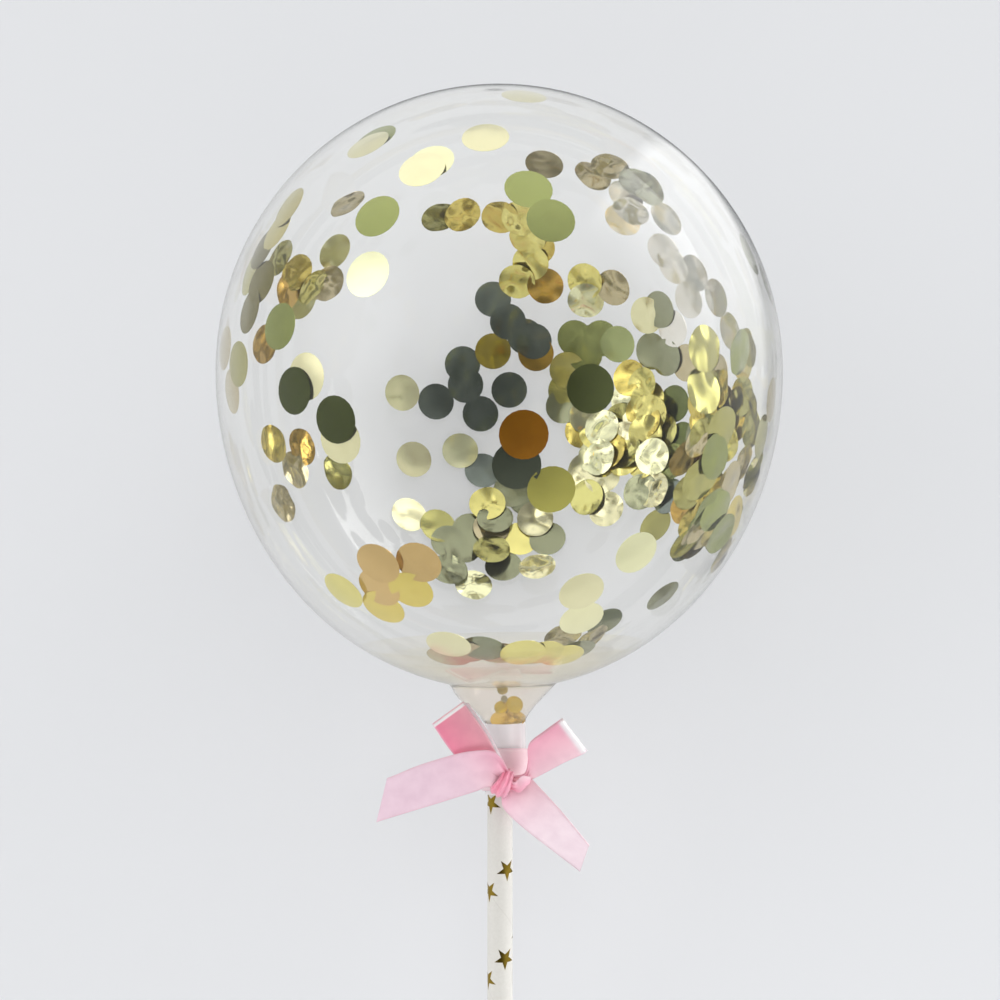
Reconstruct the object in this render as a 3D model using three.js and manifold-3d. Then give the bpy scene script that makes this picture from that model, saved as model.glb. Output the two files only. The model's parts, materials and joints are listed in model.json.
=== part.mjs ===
// A small clear balloon on a paper stick, with a satin ribbon bow tied round its neck, lying on a level surface.
// All lengths are in millimetres.
//
// The stick frame has its origin at the centre of the stick's lower end. Y runs along the stick to the balloon's crown,
// X is to the right and Z is towards the side with the bow. The whole part is tilted in that frame until the balloon's
// belly and the stick's lower end both touch z = 0, and the origin is then under the belly, in the flat spot there.

import * as THREE from "three";
import { mergeVertices } from "three/addons/utils/BufferGeometryUtils.js";
import Module from "manifold-3d";

const wasm = await Module();
wasm.setup();

// Stick: a wound paper tube
const STICK_LENGTH = 197;
const STICK_DIAMETER = 6;
const STICK_WALL = 0.5;

// Balloon: two half ellipsoids, a funnel and the neck that is pulled over the stick
const BALLOON_WIDTH = 133;
const CROWN_HEIGHT = 67.2;
const BELLY_DEPTH = 74.4;
const FUNNEL_WIDTH = 26;
const FUNNEL_LENGTH = 9.5;
const NECK_WALL = 0.5;
const NECK_OVER_STICK = 14.2;
const NECK_ABOVE_RIBBON = 6.8;
const NECK_OFFSET = 1.3;
const LEAN_DEG = 0.9;
const FLAT_SPOT_DIAMETER = 14;

// Ribbon bow: one length of ribbon, with a band round the neck, a knot, two loops and two tails. Angles are round the
// middle of the knot, from X towards Y, and heights are above it. A tail leaves the knot along its root and then bends.
const RIBBON_WIDTH = 10;
const RIBBON_THICKNESS = 0.5;
const KNOT_WIDTH = 6.4;
const KNOT_HEIGHT = 7;
const KNOT_DEPTH = 4.4;
const KNOT_BELOW_BAND = 2.1;
const PINCHED_WIDTH = 5.2;
const PINCH_LENGTH = 8;
const LOOP_ROOT_HEIGHT = 0.7;
const LOOP_FOLD_RADIUS = 1.4;
const LOOP_SWELL_HEIGHT = 0.8;
const LEFT_LOOP_LENGTH = 20.8;
const LEFT_LOOP_DEG = 129;
const LEFT_LOOP_END_HEIGHT = 1.2;
const RIGHT_LOOP_LENGTH = 19.7;
const RIGHT_LOOP_DEG = 33;
const RIGHT_LOOP_END_HEIGHT = 0.6;
const TAIL_ROOT_LENGTH = 8;
const TAIL_BEND_HEIGHT = 1.6;
const LEFT_TAIL_ROOT_DEG = 154;
const LEFT_TAIL_LENGTH = 23;
const LEFT_TAIL_DEG = 199;
const LEFT_TAIL_END_HEIGHT = 0.6;
const LEFT_TAIL_CUT_DEG = 30;
const LEFT_TAIL_TWIST_DEG = 0;
const RIGHT_TAIL_ROOT_DEG = -36;
const RIGHT_TAIL_LENGTH = 17.6;
const RIGHT_TAIL_DEG = -48;
const RIGHT_TAIL_END_HEIGHT = 1.2;
const RIGHT_TAIL_CUT_DEG = -30;
const RIGHT_TAIL_TWIST_DEG = 38;

// Clearance between pieces that lie against each other
const GAP = 0.3;

// Facets
const BALLOON_SIDES = 64;
const CROWN_RINGS = 16;
const BELLY_RINGS = 16;
const FUNNEL_RINGS = 8;
const STICK_SIDES = 32;
const KNOT_SIDES = 16;
const KNOT_RINGS = 10;
const LOOP_STEPS = 12;
const FOLD_STEPS = 6;
const TAIL_STEPS = 18;

const rad = THREE.MathUtils.degToRad;
const lerp = THREE.MathUtils.lerp;
const smooth = (t) => THREE.MathUtils.smoothstep(t, 0, 1);

const stickRadius = STICK_DIAMETER / 2;
const boreRadius = stickRadius + GAP;
const neckRadius = boreRadius + NECK_WALL + NECK_OFFSET;
const neckEndY = STICK_LENGTH - NECK_OVER_STICK;
const neckLength = RIBBON_WIDTH + NECK_ABOVE_RIBBON;
const bandY = neckEndY + RIBBON_WIDTH / 2;
const bandInnerRadius = neckRadius + GAP;
const bandOuterRadius = bandInnerRadius + RIBBON_THICKNESS;
const belly = BALLOON_WIDTH / 2;

// A closed geometry as a solid that can be cut and joined
function solidOf(geometry) {
  const bare = geometry.clone();
  bare.deleteAttribute("normal");
  bare.deleteAttribute("uv");
  const merged = mergeVertices(bare, 1e-4);
  return new wasm.Manifold(
    new wasm.Mesh({
      numProp: 3,
      vertProperties: merged.attributes.position.array,
      triVerts: new Uint32Array(merged.index.array),
    }),
  );
}

function geometryOf(solid) {
  const { vertProperties, triVerts } = solid.getMesh();
  const geometry = new THREE.BufferGeometry();
  geometry.setAttribute("position", new THREE.BufferAttribute(vertProperties, 3));
  geometry.setIndex(new THREE.BufferAttribute(triVerts, 1));
  return geometry;
}

function named(name, geometry, material) {
  const mesh = new THREE.Mesh(geometry, material);
  mesh.name = name;
  return mesh;
}

// The balloon's profile from the neck's end, at height 0, up to the crown
function balloonProfile() {
  const funnelTop = neckLength + FUNNEL_LENGTH;
  const last = Math.acos(FUNNEL_WIDTH / BALLOON_WIDTH);
  const widest = funnelTop + BELLY_DEPTH * Math.sin(last);
  const funnel = new THREE.CubicBezierCurve(
    new THREE.Vector2(neckRadius, neckLength),
    new THREE.Vector2(neckRadius, neckLength + 0.45 * FUNNEL_LENGTH),
    new THREE.Vector2(lerp(neckRadius, FUNNEL_WIDTH / 2, 0.55), neckLength + 0.75 * FUNNEL_LENGTH),
    new THREE.Vector2(FUNNEL_WIDTH / 2, funnelTop),
  );
  const points = [new THREE.Vector2(0, 0), new THREE.Vector2(neckRadius, 0), ...funnel.getPoints(FUNNEL_RINGS)];
  for (let i = BELLY_RINGS - 1; i >= 0; i--) {
    const t = (last * i) / BELLY_RINGS;
    points.push(new THREE.Vector2(belly * Math.cos(t), widest - BELLY_DEPTH * Math.sin(t)));
  }
  for (let i = 1; i <= CROWN_RINGS; i++) {
    const t = ((Math.PI / 2) * i) / CROWN_RINGS;
    points.push(new THREE.Vector2(i < CROWN_RINGS ? belly * Math.cos(t) : 0, widest + CROWN_HEIGHT * Math.sin(t)));
  }
  return { points, widest };
}

const profile = balloonProfile();

// The balloon leans a little to the left about the middle of the band, beside the stick's axis.
const balloonPlace = new THREE.Matrix4()
  .makeTranslation(NECK_OFFSET, bandY, 0)
  .multiply(new THREE.Matrix4().makeRotationZ(rad(LEAN_DEG)))
  .multiply(new THREE.Matrix4().makeTranslation(0, neckEndY - bandY, 0));
const widestMiddle = new THREE.Vector3(0, profile.widest, 0).applyMatrix4(balloonPlace);

// How far the lower half ellipsoid reaches below its middle when the stick frame is tilted, and the point there
function reachBelow(tilt) {
  const down = new THREE.Vector3(0, -Math.sin(tilt), -Math.cos(tilt)).applyAxisAngle(
    new THREE.Vector3(0, 0, 1),
    -rad(LEAN_DEG),
  );
  const halfAxes = new THREE.Vector3(belly, BELLY_DEPTH, belly);
  const scaled = down.multiply(halfAxes);
  const reach = scaled.length();
  const point = scaled.clone().multiply(halfAxes).divideScalar(reach);
  return { reach, point: point.applyAxisAngle(new THREE.Vector3(0, 0, 1), rad(LEAN_DEG)) };
}

// A soft balloon flattens a little where it rests, and the flat spot keeps it from rolling.
const flatSpotDepth = belly - Math.sqrt(belly ** 2 - (FLAT_SPOT_DIAMETER / 2) ** 2);

// The tilt at which the flat spot and the lowest edge of the stick's lower end are level, found by halving
function restingTilt() {
  let low = 0;
  let high = Math.PI / 3;
  for (let i = 0; i < 60; i++) {
    const tilt = (low + high) / 2;
    const middleUp = reachBelow(tilt).reach - flatSpotDepth;
    const stickEndUp = middleUp - widestMiddle.y * Math.sin(tilt) - stickRadius * Math.cos(tilt);
    if (stickEndUp > 0) low = tilt;
    else high = tilt;
  }
  return (low + high) / 2;
}

const tilt = restingTilt();
const resting = reachBelow(tilt);
const tilting = new THREE.Matrix4().makeRotationX(tilt);
const underBelly = resting.point.clone().add(widestMiddle).applyMatrix4(tilting);
const stickToGround = new THREE.Matrix4()
  .makeTranslation(-underBelly.x, -underBelly.y, -underBelly.z - flatSpotDepth)
  .multiply(tilting);

// The balloon is sealed, so it is one solid. The stick's bore is cut out of its neck, and the ground cuts the flat spot.
function balloon(material) {
  const body = solidOf(
    new THREE.LatheGeometry(profile.points, BALLOON_SIDES).applyMatrix4(balloonPlace).applyMatrix4(stickToGround),
  );
  const boreLength = NECK_OVER_STICK + 2 * GAP;
  const bore = solidOf(
    new THREE.CylinderGeometry(boreRadius, boreRadius, boreLength, STICK_SIDES)
      .translate(0, neckEndY - GAP + boreLength / 2, 0)
      .applyMatrix4(stickToGround),
  );
  const ground = solidOf(new THREE.BoxGeometry(BALLOON_WIDTH, BALLOON_WIDTH, belly).translate(0, 0, -belly / 2));
  return named("balloon", geometryOf(body.subtract(bore).subtract(ground)), material);
}

function paperStick(material) {
  const inner = stickRadius - STICK_WALL;
  const wall = [
    new THREE.Vector2(inner, 0),
    new THREE.Vector2(stickRadius, 0),
    new THREE.Vector2(stickRadius, STICK_LENGTH),
    new THREE.Vector2(inner, STICK_LENGTH),
    new THREE.Vector2(inner, 0),
  ];
  return named("paper_stick", new THREE.LatheGeometry(wall, STICK_SIDES).applyMatrix4(stickToGround), material);
}

// A ribbon strip as a closed geometry. Each station gives its middle, the direction across the ribbon, half its width
// there, and the skew of a line across it, which at the last station is the slant that scissors leave.
function strip(stations) {
  const corners = [];
  stations.forEach(({ middle, across, half, skewDeg }, i) => {
    const before = stations[Math.max(i - 1, 0)].middle;
    const after = stations[Math.min(i + 1, stations.length - 1)].middle;
    const along = after.clone().sub(before).normalize();
    const face = along.clone().cross(across).normalize();
    const rim = [
      [-1, -1],
      [-1, 1],
      [1, 1],
      [1, -1],
    ];
    for (const [side, layer] of rim) {
      corners.push(
        middle
          .clone()
          .addScaledVector(across, side * half)
          .addScaledVector(along, side * half * Math.tan(rad(skewDeg)))
          .addScaledVector(face, (layer * RIBBON_THICKNESS) / 2),
      );
    }
  });
  const triangles = [0, 1, 2, 0, 2, 3];
  for (let i = 0; i + 1 < stations.length; i++) {
    for (let k = 0; k < 4; k++) {
      const a = 4 * i + k;
      const b = 4 * i + ((k + 1) % 4);
      triangles.push(a, a + 4, b + 4, a, b + 4, b);
    }
  }
  const end = corners.length - 4;
  triangles.push(end, end + 2, end + 1, end, end + 3, end + 2);
  const geometry = new THREE.BufferGeometry().setFromPoints(corners);
  geometry.setIndex(triangles);
  return geometry;
}

const knotMiddle = new THREE.Vector3(
  NECK_OFFSET,
  bandY - KNOT_BELOW_BAND,
  bandOuterRadius + KNOT_DEPTH / 2 - RIBBON_THICKNESS,
);

// Half the ribbon's width at a distance from the knot, where it is gathered
function gathered(distance) {
  return lerp(PINCHED_WIDTH, RIBBON_WIDTH, smooth(distance / PINCH_LENGTH)) / 2;
}

function outward(angleDeg) {
  return new THREE.Vector3(Math.cos(rad(angleDeg)), Math.sin(rad(angleDeg)), 0);
}

// A loop leaves the front of the knot, folds over at its end and comes back behind, a little swollen between.
function loop(length, angleDeg, endHeight) {
  const out = outward(angleDeg);
  const across = new THREE.Vector3(-out.y, out.x, 0);
  const straight = length - LOOP_FOLD_RADIUS;
  const height = (t) =>
    lerp(LOOP_ROOT_HEIGHT, LOOP_FOLD_RADIUS, smooth(2 * t)) + LOOP_SWELL_HEIGHT * Math.sin(Math.PI * t);
  const stations = [];
  const add = (distance, rise) => {
    const middle = knotMiddle.clone().addScaledVector(out, distance);
    middle.z += rise + endHeight * smooth(distance / length);
    stations.push({ middle, across, half: gathered(distance), skewDeg: 0 });
  };
  for (let i = 0; i < LOOP_STEPS; i++) add((straight * i) / LOOP_STEPS, height(i / LOOP_STEPS));
  for (let i = 0; i <= FOLD_STEPS; i++) {
    const turn = (Math.PI * i) / FOLD_STEPS;
    add(straight + LOOP_FOLD_RADIUS * Math.sin(turn), LOOP_FOLD_RADIUS * Math.cos(turn));
  }
  for (let i = LOOP_STEPS - 1; i >= 0; i--) add((straight * i) / LOOP_STEPS, -height(i / LOOP_STEPS));
  return strip(stations);
}

// A tail leaves the knot along its root, bends towards its end and may twist on the way.
function tail(rootDeg, length, angleDeg, endHeight, cutDeg, twistDeg) {
  const bend = outward(rootDeg).multiplyScalar(TAIL_ROOT_LENGTH).add(knotMiddle);
  const end = outward(angleDeg).multiplyScalar(length).add(bend);
  bend.z += TAIL_BEND_HEIGHT;
  end.z += endHeight;
  const curve = new THREE.QuadraticBezierCurve3(knotMiddle, bend, end);
  const curveLength = curve.getLength();
  const stations = [];
  for (let i = 0; i <= TAIL_STEPS; i++) {
    const t = i / TAIL_STEPS;
    const along = curve.getTangentAt(t);
    const across = new THREE.Vector3(-along.y, along.x, 0).normalize();
    across.applyAxisAngle(along, rad(twistDeg) * smooth(t));
    stations.push({
      middle: curve.getPointAt(t),
      across,
      half: gathered(t * curveLength),
      skewDeg: cutDeg * smooth(3 * t - 2),
    });
  }
  return strip(stations);
}

function band() {
  const half = RIBBON_WIDTH / 2;
  const hoop = [
    new THREE.Vector2(bandInnerRadius, -half),
    new THREE.Vector2(bandOuterRadius, -half),
    new THREE.Vector2(bandOuterRadius, half),
    new THREE.Vector2(bandInnerRadius, half),
    new THREE.Vector2(bandInnerRadius, -half),
  ];
  return new THREE.LatheGeometry(hoop, STICK_SIDES).translate(NECK_OFFSET, bandY, 0);
}

function knot() {
  return new THREE.SphereGeometry(0.5, KNOT_SIDES, KNOT_RINGS)
    .scale(KNOT_WIDTH, KNOT_HEIGHT, KNOT_DEPTH)
    .translate(knotMiddle.x, knotMiddle.y, knotMiddle.z);
}

function ribbonBow(material) {
  const pieces = [
    band(),
    knot(),
    loop(LEFT_LOOP_LENGTH, LEFT_LOOP_DEG, LEFT_LOOP_END_HEIGHT),
    loop(RIGHT_LOOP_LENGTH, RIGHT_LOOP_DEG, RIGHT_LOOP_END_HEIGHT),
    tail(
      LEFT_TAIL_ROOT_DEG,
      LEFT_TAIL_LENGTH,
      LEFT_TAIL_DEG,
      LEFT_TAIL_END_HEIGHT,
      LEFT_TAIL_CUT_DEG,
      LEFT_TAIL_TWIST_DEG,
    ),
    tail(
      RIGHT_TAIL_ROOT_DEG,
      RIGHT_TAIL_LENGTH,
      RIGHT_TAIL_DEG,
      RIGHT_TAIL_END_HEIGHT,
      RIGHT_TAIL_CUT_DEG,
      RIGHT_TAIL_TWIST_DEG,
    ),
  ];
  const joined = pieces.map(solidOf).reduce((whole, piece) => whole.add(piece));
  return named("ribbon_bow", geometryOf(joined).applyMatrix4(stickToGround), material);
}

const clearFilm = new THREE.MeshStandardMaterial({
  color: 0xe9ebea,
  roughness: 0.08,
  metalness: 0,
  transparent: true,
  opacity: 0.3,
});
const whitePaper = new THREE.MeshStandardMaterial({ color: 0xeceae4, roughness: 0.6, metalness: 0 });
const pinkSatin = new THREE.MeshStandardMaterial({ color: 0xf2b6c6, roughness: 0.4, metalness: 0 });

const part = new THREE.Group();
part.add(balloon(clearFilm), paperStick(whitePaper), ribbonBow(pinkSatin));

export default part;
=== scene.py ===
import json
import math
import random

import bmesh
import bpy
from mathutils import Matrix, Vector, noise


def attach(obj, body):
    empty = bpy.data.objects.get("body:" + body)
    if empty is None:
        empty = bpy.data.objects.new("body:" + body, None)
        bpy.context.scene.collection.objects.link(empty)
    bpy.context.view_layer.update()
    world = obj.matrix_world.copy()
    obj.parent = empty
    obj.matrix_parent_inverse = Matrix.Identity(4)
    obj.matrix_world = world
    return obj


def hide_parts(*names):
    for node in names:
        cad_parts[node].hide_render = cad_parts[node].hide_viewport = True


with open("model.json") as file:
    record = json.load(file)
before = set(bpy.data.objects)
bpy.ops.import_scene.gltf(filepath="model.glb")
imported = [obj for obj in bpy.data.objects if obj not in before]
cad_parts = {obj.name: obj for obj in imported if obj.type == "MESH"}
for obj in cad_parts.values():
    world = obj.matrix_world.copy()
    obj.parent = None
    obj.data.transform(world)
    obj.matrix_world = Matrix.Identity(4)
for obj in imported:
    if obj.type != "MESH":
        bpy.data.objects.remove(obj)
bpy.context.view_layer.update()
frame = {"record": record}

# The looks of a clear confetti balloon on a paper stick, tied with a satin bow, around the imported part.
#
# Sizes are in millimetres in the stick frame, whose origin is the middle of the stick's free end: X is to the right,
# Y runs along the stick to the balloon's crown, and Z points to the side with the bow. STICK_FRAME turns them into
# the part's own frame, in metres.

MM = 0.001

# Stick
STICK_LENGTH = 197
STICK_RADIUS = 3
STICK_WALL = 0.5

# Balloon, with its film as it is blown up
BELLY_RADIUS = 66.5
CROWN_HEIGHT = 67.2
BELLY_DEPTH = 74.4
FUNNEL_RADIUS = 13
FUNNEL_LENGTH = 9.5
NECK_RADIUS = 5.1
NECK_OVER_STICK = 14.2
NECK_ABOVE_RIBBON = 6.8
NECK_OFFSET = 1.3
LEAN = math.radians(0.9)
FILM = 0.25

# Ribbon
RIBBON_WIDTH = 10
RIBBON_THICKNESS = 0.22
BAND_RADIUS = 5.6
KNOT_BELOW_BAND = 2.1
KNOT_HEIGHT_OFF_AXIS = 7.6
FOLD_RADIUS = 1.3
FOLD_REACH = 0.9
LAYER_GAP = 1.2

# Confetti
DISC_RADIUS = 5
DISC_THICKNESS = 0.05
CRINKLE_HEIGHT = 0.6
# How much further inside the film a disc lies for each disc that it overlaps and that was placed before it. Discs that
# tilt, or that are crinkled, can still cross.
NEAR_STEP = 0.55
FAR_STEP = 0.12
MOST_STEPS = 10

# Camera, square to the stick, and level with a point on it
CAMERA_Y = 252.3
CAMERA_DISTANCE = 393
LENS = 59.5

NECK_END_Y = STICK_LENGTH - NECK_OVER_STICK
BAND_Y = NECK_END_Y + RIBBON_WIDTH / 2
NECK_LENGTH = RIBBON_WIDTH + NECK_ABOVE_RIBBON
FUNNEL_TOP = NECK_LENGTH + FUNNEL_LENGTH
FUNNEL_TURN = math.acos(FUNNEL_RADIUS / BELLY_RADIUS)
WIDEST = FUNNEL_TOP + BELLY_DEPTH * math.sin(FUNNEL_TURN)

end_mount = next(m for m in frame["record"]["mounts"] if m["name"] == "stick_end")
RIGHT = Vector((1, 0, 0))
ALONG = -Vector(end_mount["axis"]).normalized()
FRONT = RIGHT.cross(ALONG)
STICK_END = Vector(end_mount["pos_m"]) - FRONT * MM * (STICK_RADIUS - STICK_WALL / 2)
AXES = Matrix((RIGHT, ALONG, FRONT)).transposed().to_4x4()
STICK_FRAME = Matrix.Translation(STICK_END) @ AXES @ Matrix.Scale(MM, 4)

# The balloon's own frame, from the middle of the neck's end along its axis, which leans beside the stick
BALLOON_FRAME = (
    Matrix.Translation((NECK_OFFSET, BAND_Y, 0))
    @ Matrix.Rotation(LEAN, 4, "Z")
    @ Matrix.Translation((0, NECK_END_Y - BAND_Y, 0))
)
MIDDLE = BALLOON_FRAME @ Vector((0, WIDEST, 0))
KNOT = Vector((NECK_OFFSET, BAND_Y - KNOT_BELOW_BAND, KNOT_HEIGHT_OFF_AXIS))
BOW_RAISED = Vector((0, 0.9, 0))


def smooth(t):
    t = min(max(t, 0), 1)
    return t * t * (3 - 2 * t)


def lerp(a, b, t):
    return a + (b - a) * t


def linear(red, green, blue):
    """A colour given as it shows on a screen, from 0 to 255, as the shader's linear one."""

    def channel(c):
        c /= 255
        return c / 12.92 if c <= 0.04045 else ((c + 0.055) / 1.055) ** 2.4

    return (channel(red), channel(green), channel(blue), 1)


# Shader nodes


class Shader:
    """The node tree of a new material, or of a world, with short calls for the nodes that are used here."""

    def __init__(self, owner):
        self.material = bpy.data.materials.new(owner) if isinstance(owner, str) else owner
        self.material.use_nodes = True
        self.tree = self.material.node_tree
        self.principled = self.tree.nodes.get("Principled BSDF")

    def node(self, kind, **settings):
        made = self.tree.nodes.new(kind)
        for key, value in settings.items():
            setattr(made, key, value)
        return made

    def plug(self, value, socket):
        if isinstance(value, bpy.types.NodeSocket):
            self.tree.links.new(value, socket)
        else:
            socket.default_value = value

    def set(self, **inputs):
        for key, value in inputs.items():
            self.plug(value, self.principled.inputs[key.replace("_", " ")])

    def math(self, operation, a, b=0.0, c=0.0):
        made = self.node("ShaderNodeMath", operation=operation)
        for value, socket in zip((a, b, c), made.inputs):
            self.plug(value, socket)
        return made.outputs[0]

    def mix(self, factor, a, b, blend="MIX"):
        made = self.node("ShaderNodeMix", data_type="RGBA", blend_type=blend)
        self.plug(factor, made.inputs["Factor"])
        self.plug(a, made.inputs["A"])
        self.plug(b, made.inputs["B"])
        return made.outputs["Result"]

    def remap(self, value, low, high, to_low=0.0, to_high=1.0):
        made = self.node("ShaderNodeMapRange")
        for number, socket in zip((value, low, high, to_low, to_high), made.inputs):
            self.plug(number, socket)
        return made.outputs["Result"]

    def noise(self, scale, detail=2.0, roughness=0.5):
        made = self.node("ShaderNodeTexNoise")
        self.plug(self.node("ShaderNodeTexCoord").outputs["Object"], made.inputs["Vector"])
        made.inputs["Scale"].default_value = scale
        made.inputs["Detail"].default_value = detail
        made.inputs["Roughness"].default_value = roughness
        return made.outputs["Fac"]

    def uv(self):
        separate = self.node("ShaderNodeSeparateXYZ")
        self.tree.links.new(self.node("ShaderNodeUVMap", uv_map="lay").outputs["UV"], separate.inputs[0])
        return separate.outputs[0], separate.outputs[1]

    def bump(self, height, strength, distance):
        made = self.node("ShaderNodeBump")
        self.plug(height, made.inputs["Height"])
        self.plug(strength, made.inputs["Strength"])
        made.inputs["Distance"].default_value = distance
        self.plug(made.outputs["Normal"], self.principled.inputs["Normal"])


def film_material(name, clear, tint, roughness):
    """Latex film: clear is how much of it lets light through, and the rest is milky."""
    shader = Shader(name)
    shader.set(
        Base_Color=shader.mix(shader.noise(38, 0), tint, [c * 0.99 for c in tint[:3]] + [1]),
        Transmission_Weight=clear,
        IOR=1.27,
        Roughness=roughness,
    )
    if clear < 0.9:
        shader.bump(shader.noise(55, 2), 0.05, 0.001)
    return shader.material


def foil_material():
    """Metal foil. Each disc brings its own tint, which is partly a painted reflection, and how crinkled it is as the
    tint's alpha.
    """
    shader = Shader("gold_foil")
    disc = shader.node("ShaderNodeAttribute", attribute_name="tint")
    mottle = shader.noise(200, 1)
    crinkle = shader.noise(170, 0)
    tone = shader.mix(mottle, (0.75, 0.72, 0.66, 1), (1, 1, 1, 1))
    shader.set(
        Base_Color=shader.mix(0.5, disc.outputs["Color"], tone, "MULTIPLY"),
        Metallic=0.9,
        Roughness=shader.remap(mottle, 0.3, 0.7, 0.12, 0.2),
    )
    shader.bump(crinkle, shader.remap(disc.outputs["Alpha"], 0, 1, 0.01, 1.0), 0.0022)
    return shader.material


def paper_material():
    """White wound paper printed with small gold foil stars, which climb round the stick on one helix."""
    star_radius, star_waist = 2.75, 1.08
    step_round, step_along = 4.86, 5.23
    first_round, first_along = 1.82, 164.9
    # The stars sit a little above the middle of their rows, so that no border cuts the tip that points down
    half_row = 0.5 * step_along + 0.25
    round_stick = 2 * math.pi * STICK_RADIUS
    shader = Shader("printed_paper")
    around, along = shader.uv()
    below = shader.math("SUBTRACT", along, first_along - half_row)
    row = shader.math("FLOOR", shader.math("DIVIDE", below, step_along))
    in_row = shader.math("SUBTRACT", below, shader.math("MULTIPLY", row, step_along))
    y = shader.math("SUBTRACT", in_row, half_row)
    x = shader.math("SUBTRACT", shader.math("SUBTRACT", around, first_round), shader.math("MULTIPLY", row, step_round))
    x = shader.math("WRAP", x, round_stick / 2, -round_stick / 2)
    # One tip of each star points down the stick
    angle = shader.math("ARCTAN2", x, shader.math("MULTIPLY", y, -1))
    fifth = 2 * math.pi / 5
    folded = shader.math("ABSOLUTE", shader.math("WRAP", angle, fifth / 2, -fifth / 2))
    away = shader.math("SQRT", shader.math("ADD", shader.math("MULTIPLY", x, x), shader.math("MULTIPLY", y, y)))
    edge_x = star_waist * math.sin(fifth / 2)
    edge_y = star_radius - star_waist * math.cos(fifth / 2)
    length = math.hypot(edge_x, edge_y)
    out = shader.math("SUBTRACT", shader.math("MULTIPLY", away, shader.math("COSINE", folded)), star_radius)
    side = shader.math("MULTIPLY", away, shader.math("SINE", folded))
    beyond = shader.math(
        "ADD", shader.math("MULTIPLY", out, edge_x / length), shader.math("MULTIPLY", side, edge_y / length)
    )
    soft_edge = 0.04
    star = shader.remap(beyond, soft_edge, -soft_edge)
    # The wound strip's edge shows as a fine line that climbs the stick
    pitch, seam_share = 24, 0.012
    wound = shader.math("ADD", shader.math("DIVIDE", around, round_stick), shader.math("DIVIDE", along, pitch))
    from_seam = shader.math("ABSOLUTE", shader.math("SUBTRACT", shader.math("FRACT", wound), 0.5))
    seam = shader.remap(from_seam, 0.0, seam_share, 1, 0)
    fibre = shader.noise(1500, 3, 0.6)
    paper = shader.mix(fibre, linear(216, 213, 206), linear(229, 227, 221))
    paper = shader.mix(shader.math("MULTIPLY", seam, 0.2), paper, linear(176, 172, 162))
    foil = shader.mix(shader.noise(700, 2), linear(132, 110, 34), linear(178, 150, 62))
    shader.set(
        Base_Color=shader.mix(star, paper, foil),
        Metallic=star,
        Roughness=shader.remap(star, 0, 1, 0.55, 0.16),
    )
    height = shader.math("SUBTRACT", shader.math("MULTIPLY", fibre, 0.3), shader.math("MULTIPLY", seam, 0.4))
    shader.bump(height, 0.25, 0.0001)
    return shader.material


def satin_material():
    """Satin ribbon: smooth floats lengthwise, fine ribs across, a firmer edge, and a tint per stretch that paints in
    its sheen and shade.
    """
    shader = Shader("pink_satin")
    rib_step, threads_across = 0.28, 55
    across, along = shader.uv()
    stretch = shader.node("ShaderNodeAttribute", attribute_name="tint").outputs["Color"]
    edge = shader.remap(shader.math("ABSOLUTE", shader.math("SUBTRACT", across, 0.5)), 0.455, 0.475)
    ribs = shader.math("SINE", shader.math("MULTIPLY", along, 2 * math.pi / rib_step))
    threads = shader.math("SINE", shader.math("MULTIPLY", across, 2 * math.pi * threads_across))
    cloudy = shader.noise(260, 3)
    tone = shader.mix(shader.remap(cloudy, 0.35, 0.65), (0.93, 0.9, 0.92, 1), (1, 1, 1, 1))
    colour = shader.mix(1.0, stretch, tone, "MULTIPLY")
    shader.set(
        Base_Color=shader.mix(shader.math("MULTIPLY", edge, 0.35), colour, linear(250, 205, 218)),
        Roughness=shader.remap(cloudy, 0.3, 0.7, 0.32, 0.42),
        Specular_IOR_Level=0.8,
        Anisotropic=0.55,
        Sheen_Weight=0.25,
        Sheen_Roughness=0.35,
        Sheen_Tint=linear(255, 236, 242),
    )
    weave = shader.math("ADD", shader.math("MULTIPLY", ribs, 0.6), shader.math("MULTIPLY", threads, 0.25))
    shader.bump(shader.math("ADD", weave, shader.math("MULTIPLY", edge, 1.5)), 0.12, 0.00006)
    return shader.material


# Meshes


def add_mesh(name, verts, faces, materials, uvs=None, tints=None, face_materials=None):
    """A smooth mesh from points in the stick frame, with a point in uvs and a colour in tints for each of them."""
    mesh = bpy.data.meshes.new(name)
    mesh.from_pydata([STICK_FRAME @ Vector(v) for v in verts], [], faces)
    for material in materials:
        mesh.materials.append(material)
    if face_materials:
        mesh.polygons.foreach_set("material_index", face_materials)
    corners = [loop.vertex_index for loop in mesh.loops]
    if uvs:
        layer = mesh.uv_layers.new(name="lay")
        for i, corner in enumerate(corners):
            layer.data[i].uv = uvs[corner]
    if tints:
        colours = mesh.color_attributes.new("tint", "FLOAT_COLOR", "POINT")
        colours.data.foreach_set("color", [c for tint in tints for c in tint])
    mesh.polygons.foreach_set("use_smooth", [True] * len(mesh.polygons))
    mesh.update()
    mesh.set_sharp_from_angle(angle=math.radians(50))
    piece = bpy.data.objects.new(name, mesh)
    bpy.context.scene.collection.objects.link(piece)
    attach(piece, "root")
    return piece


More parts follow.
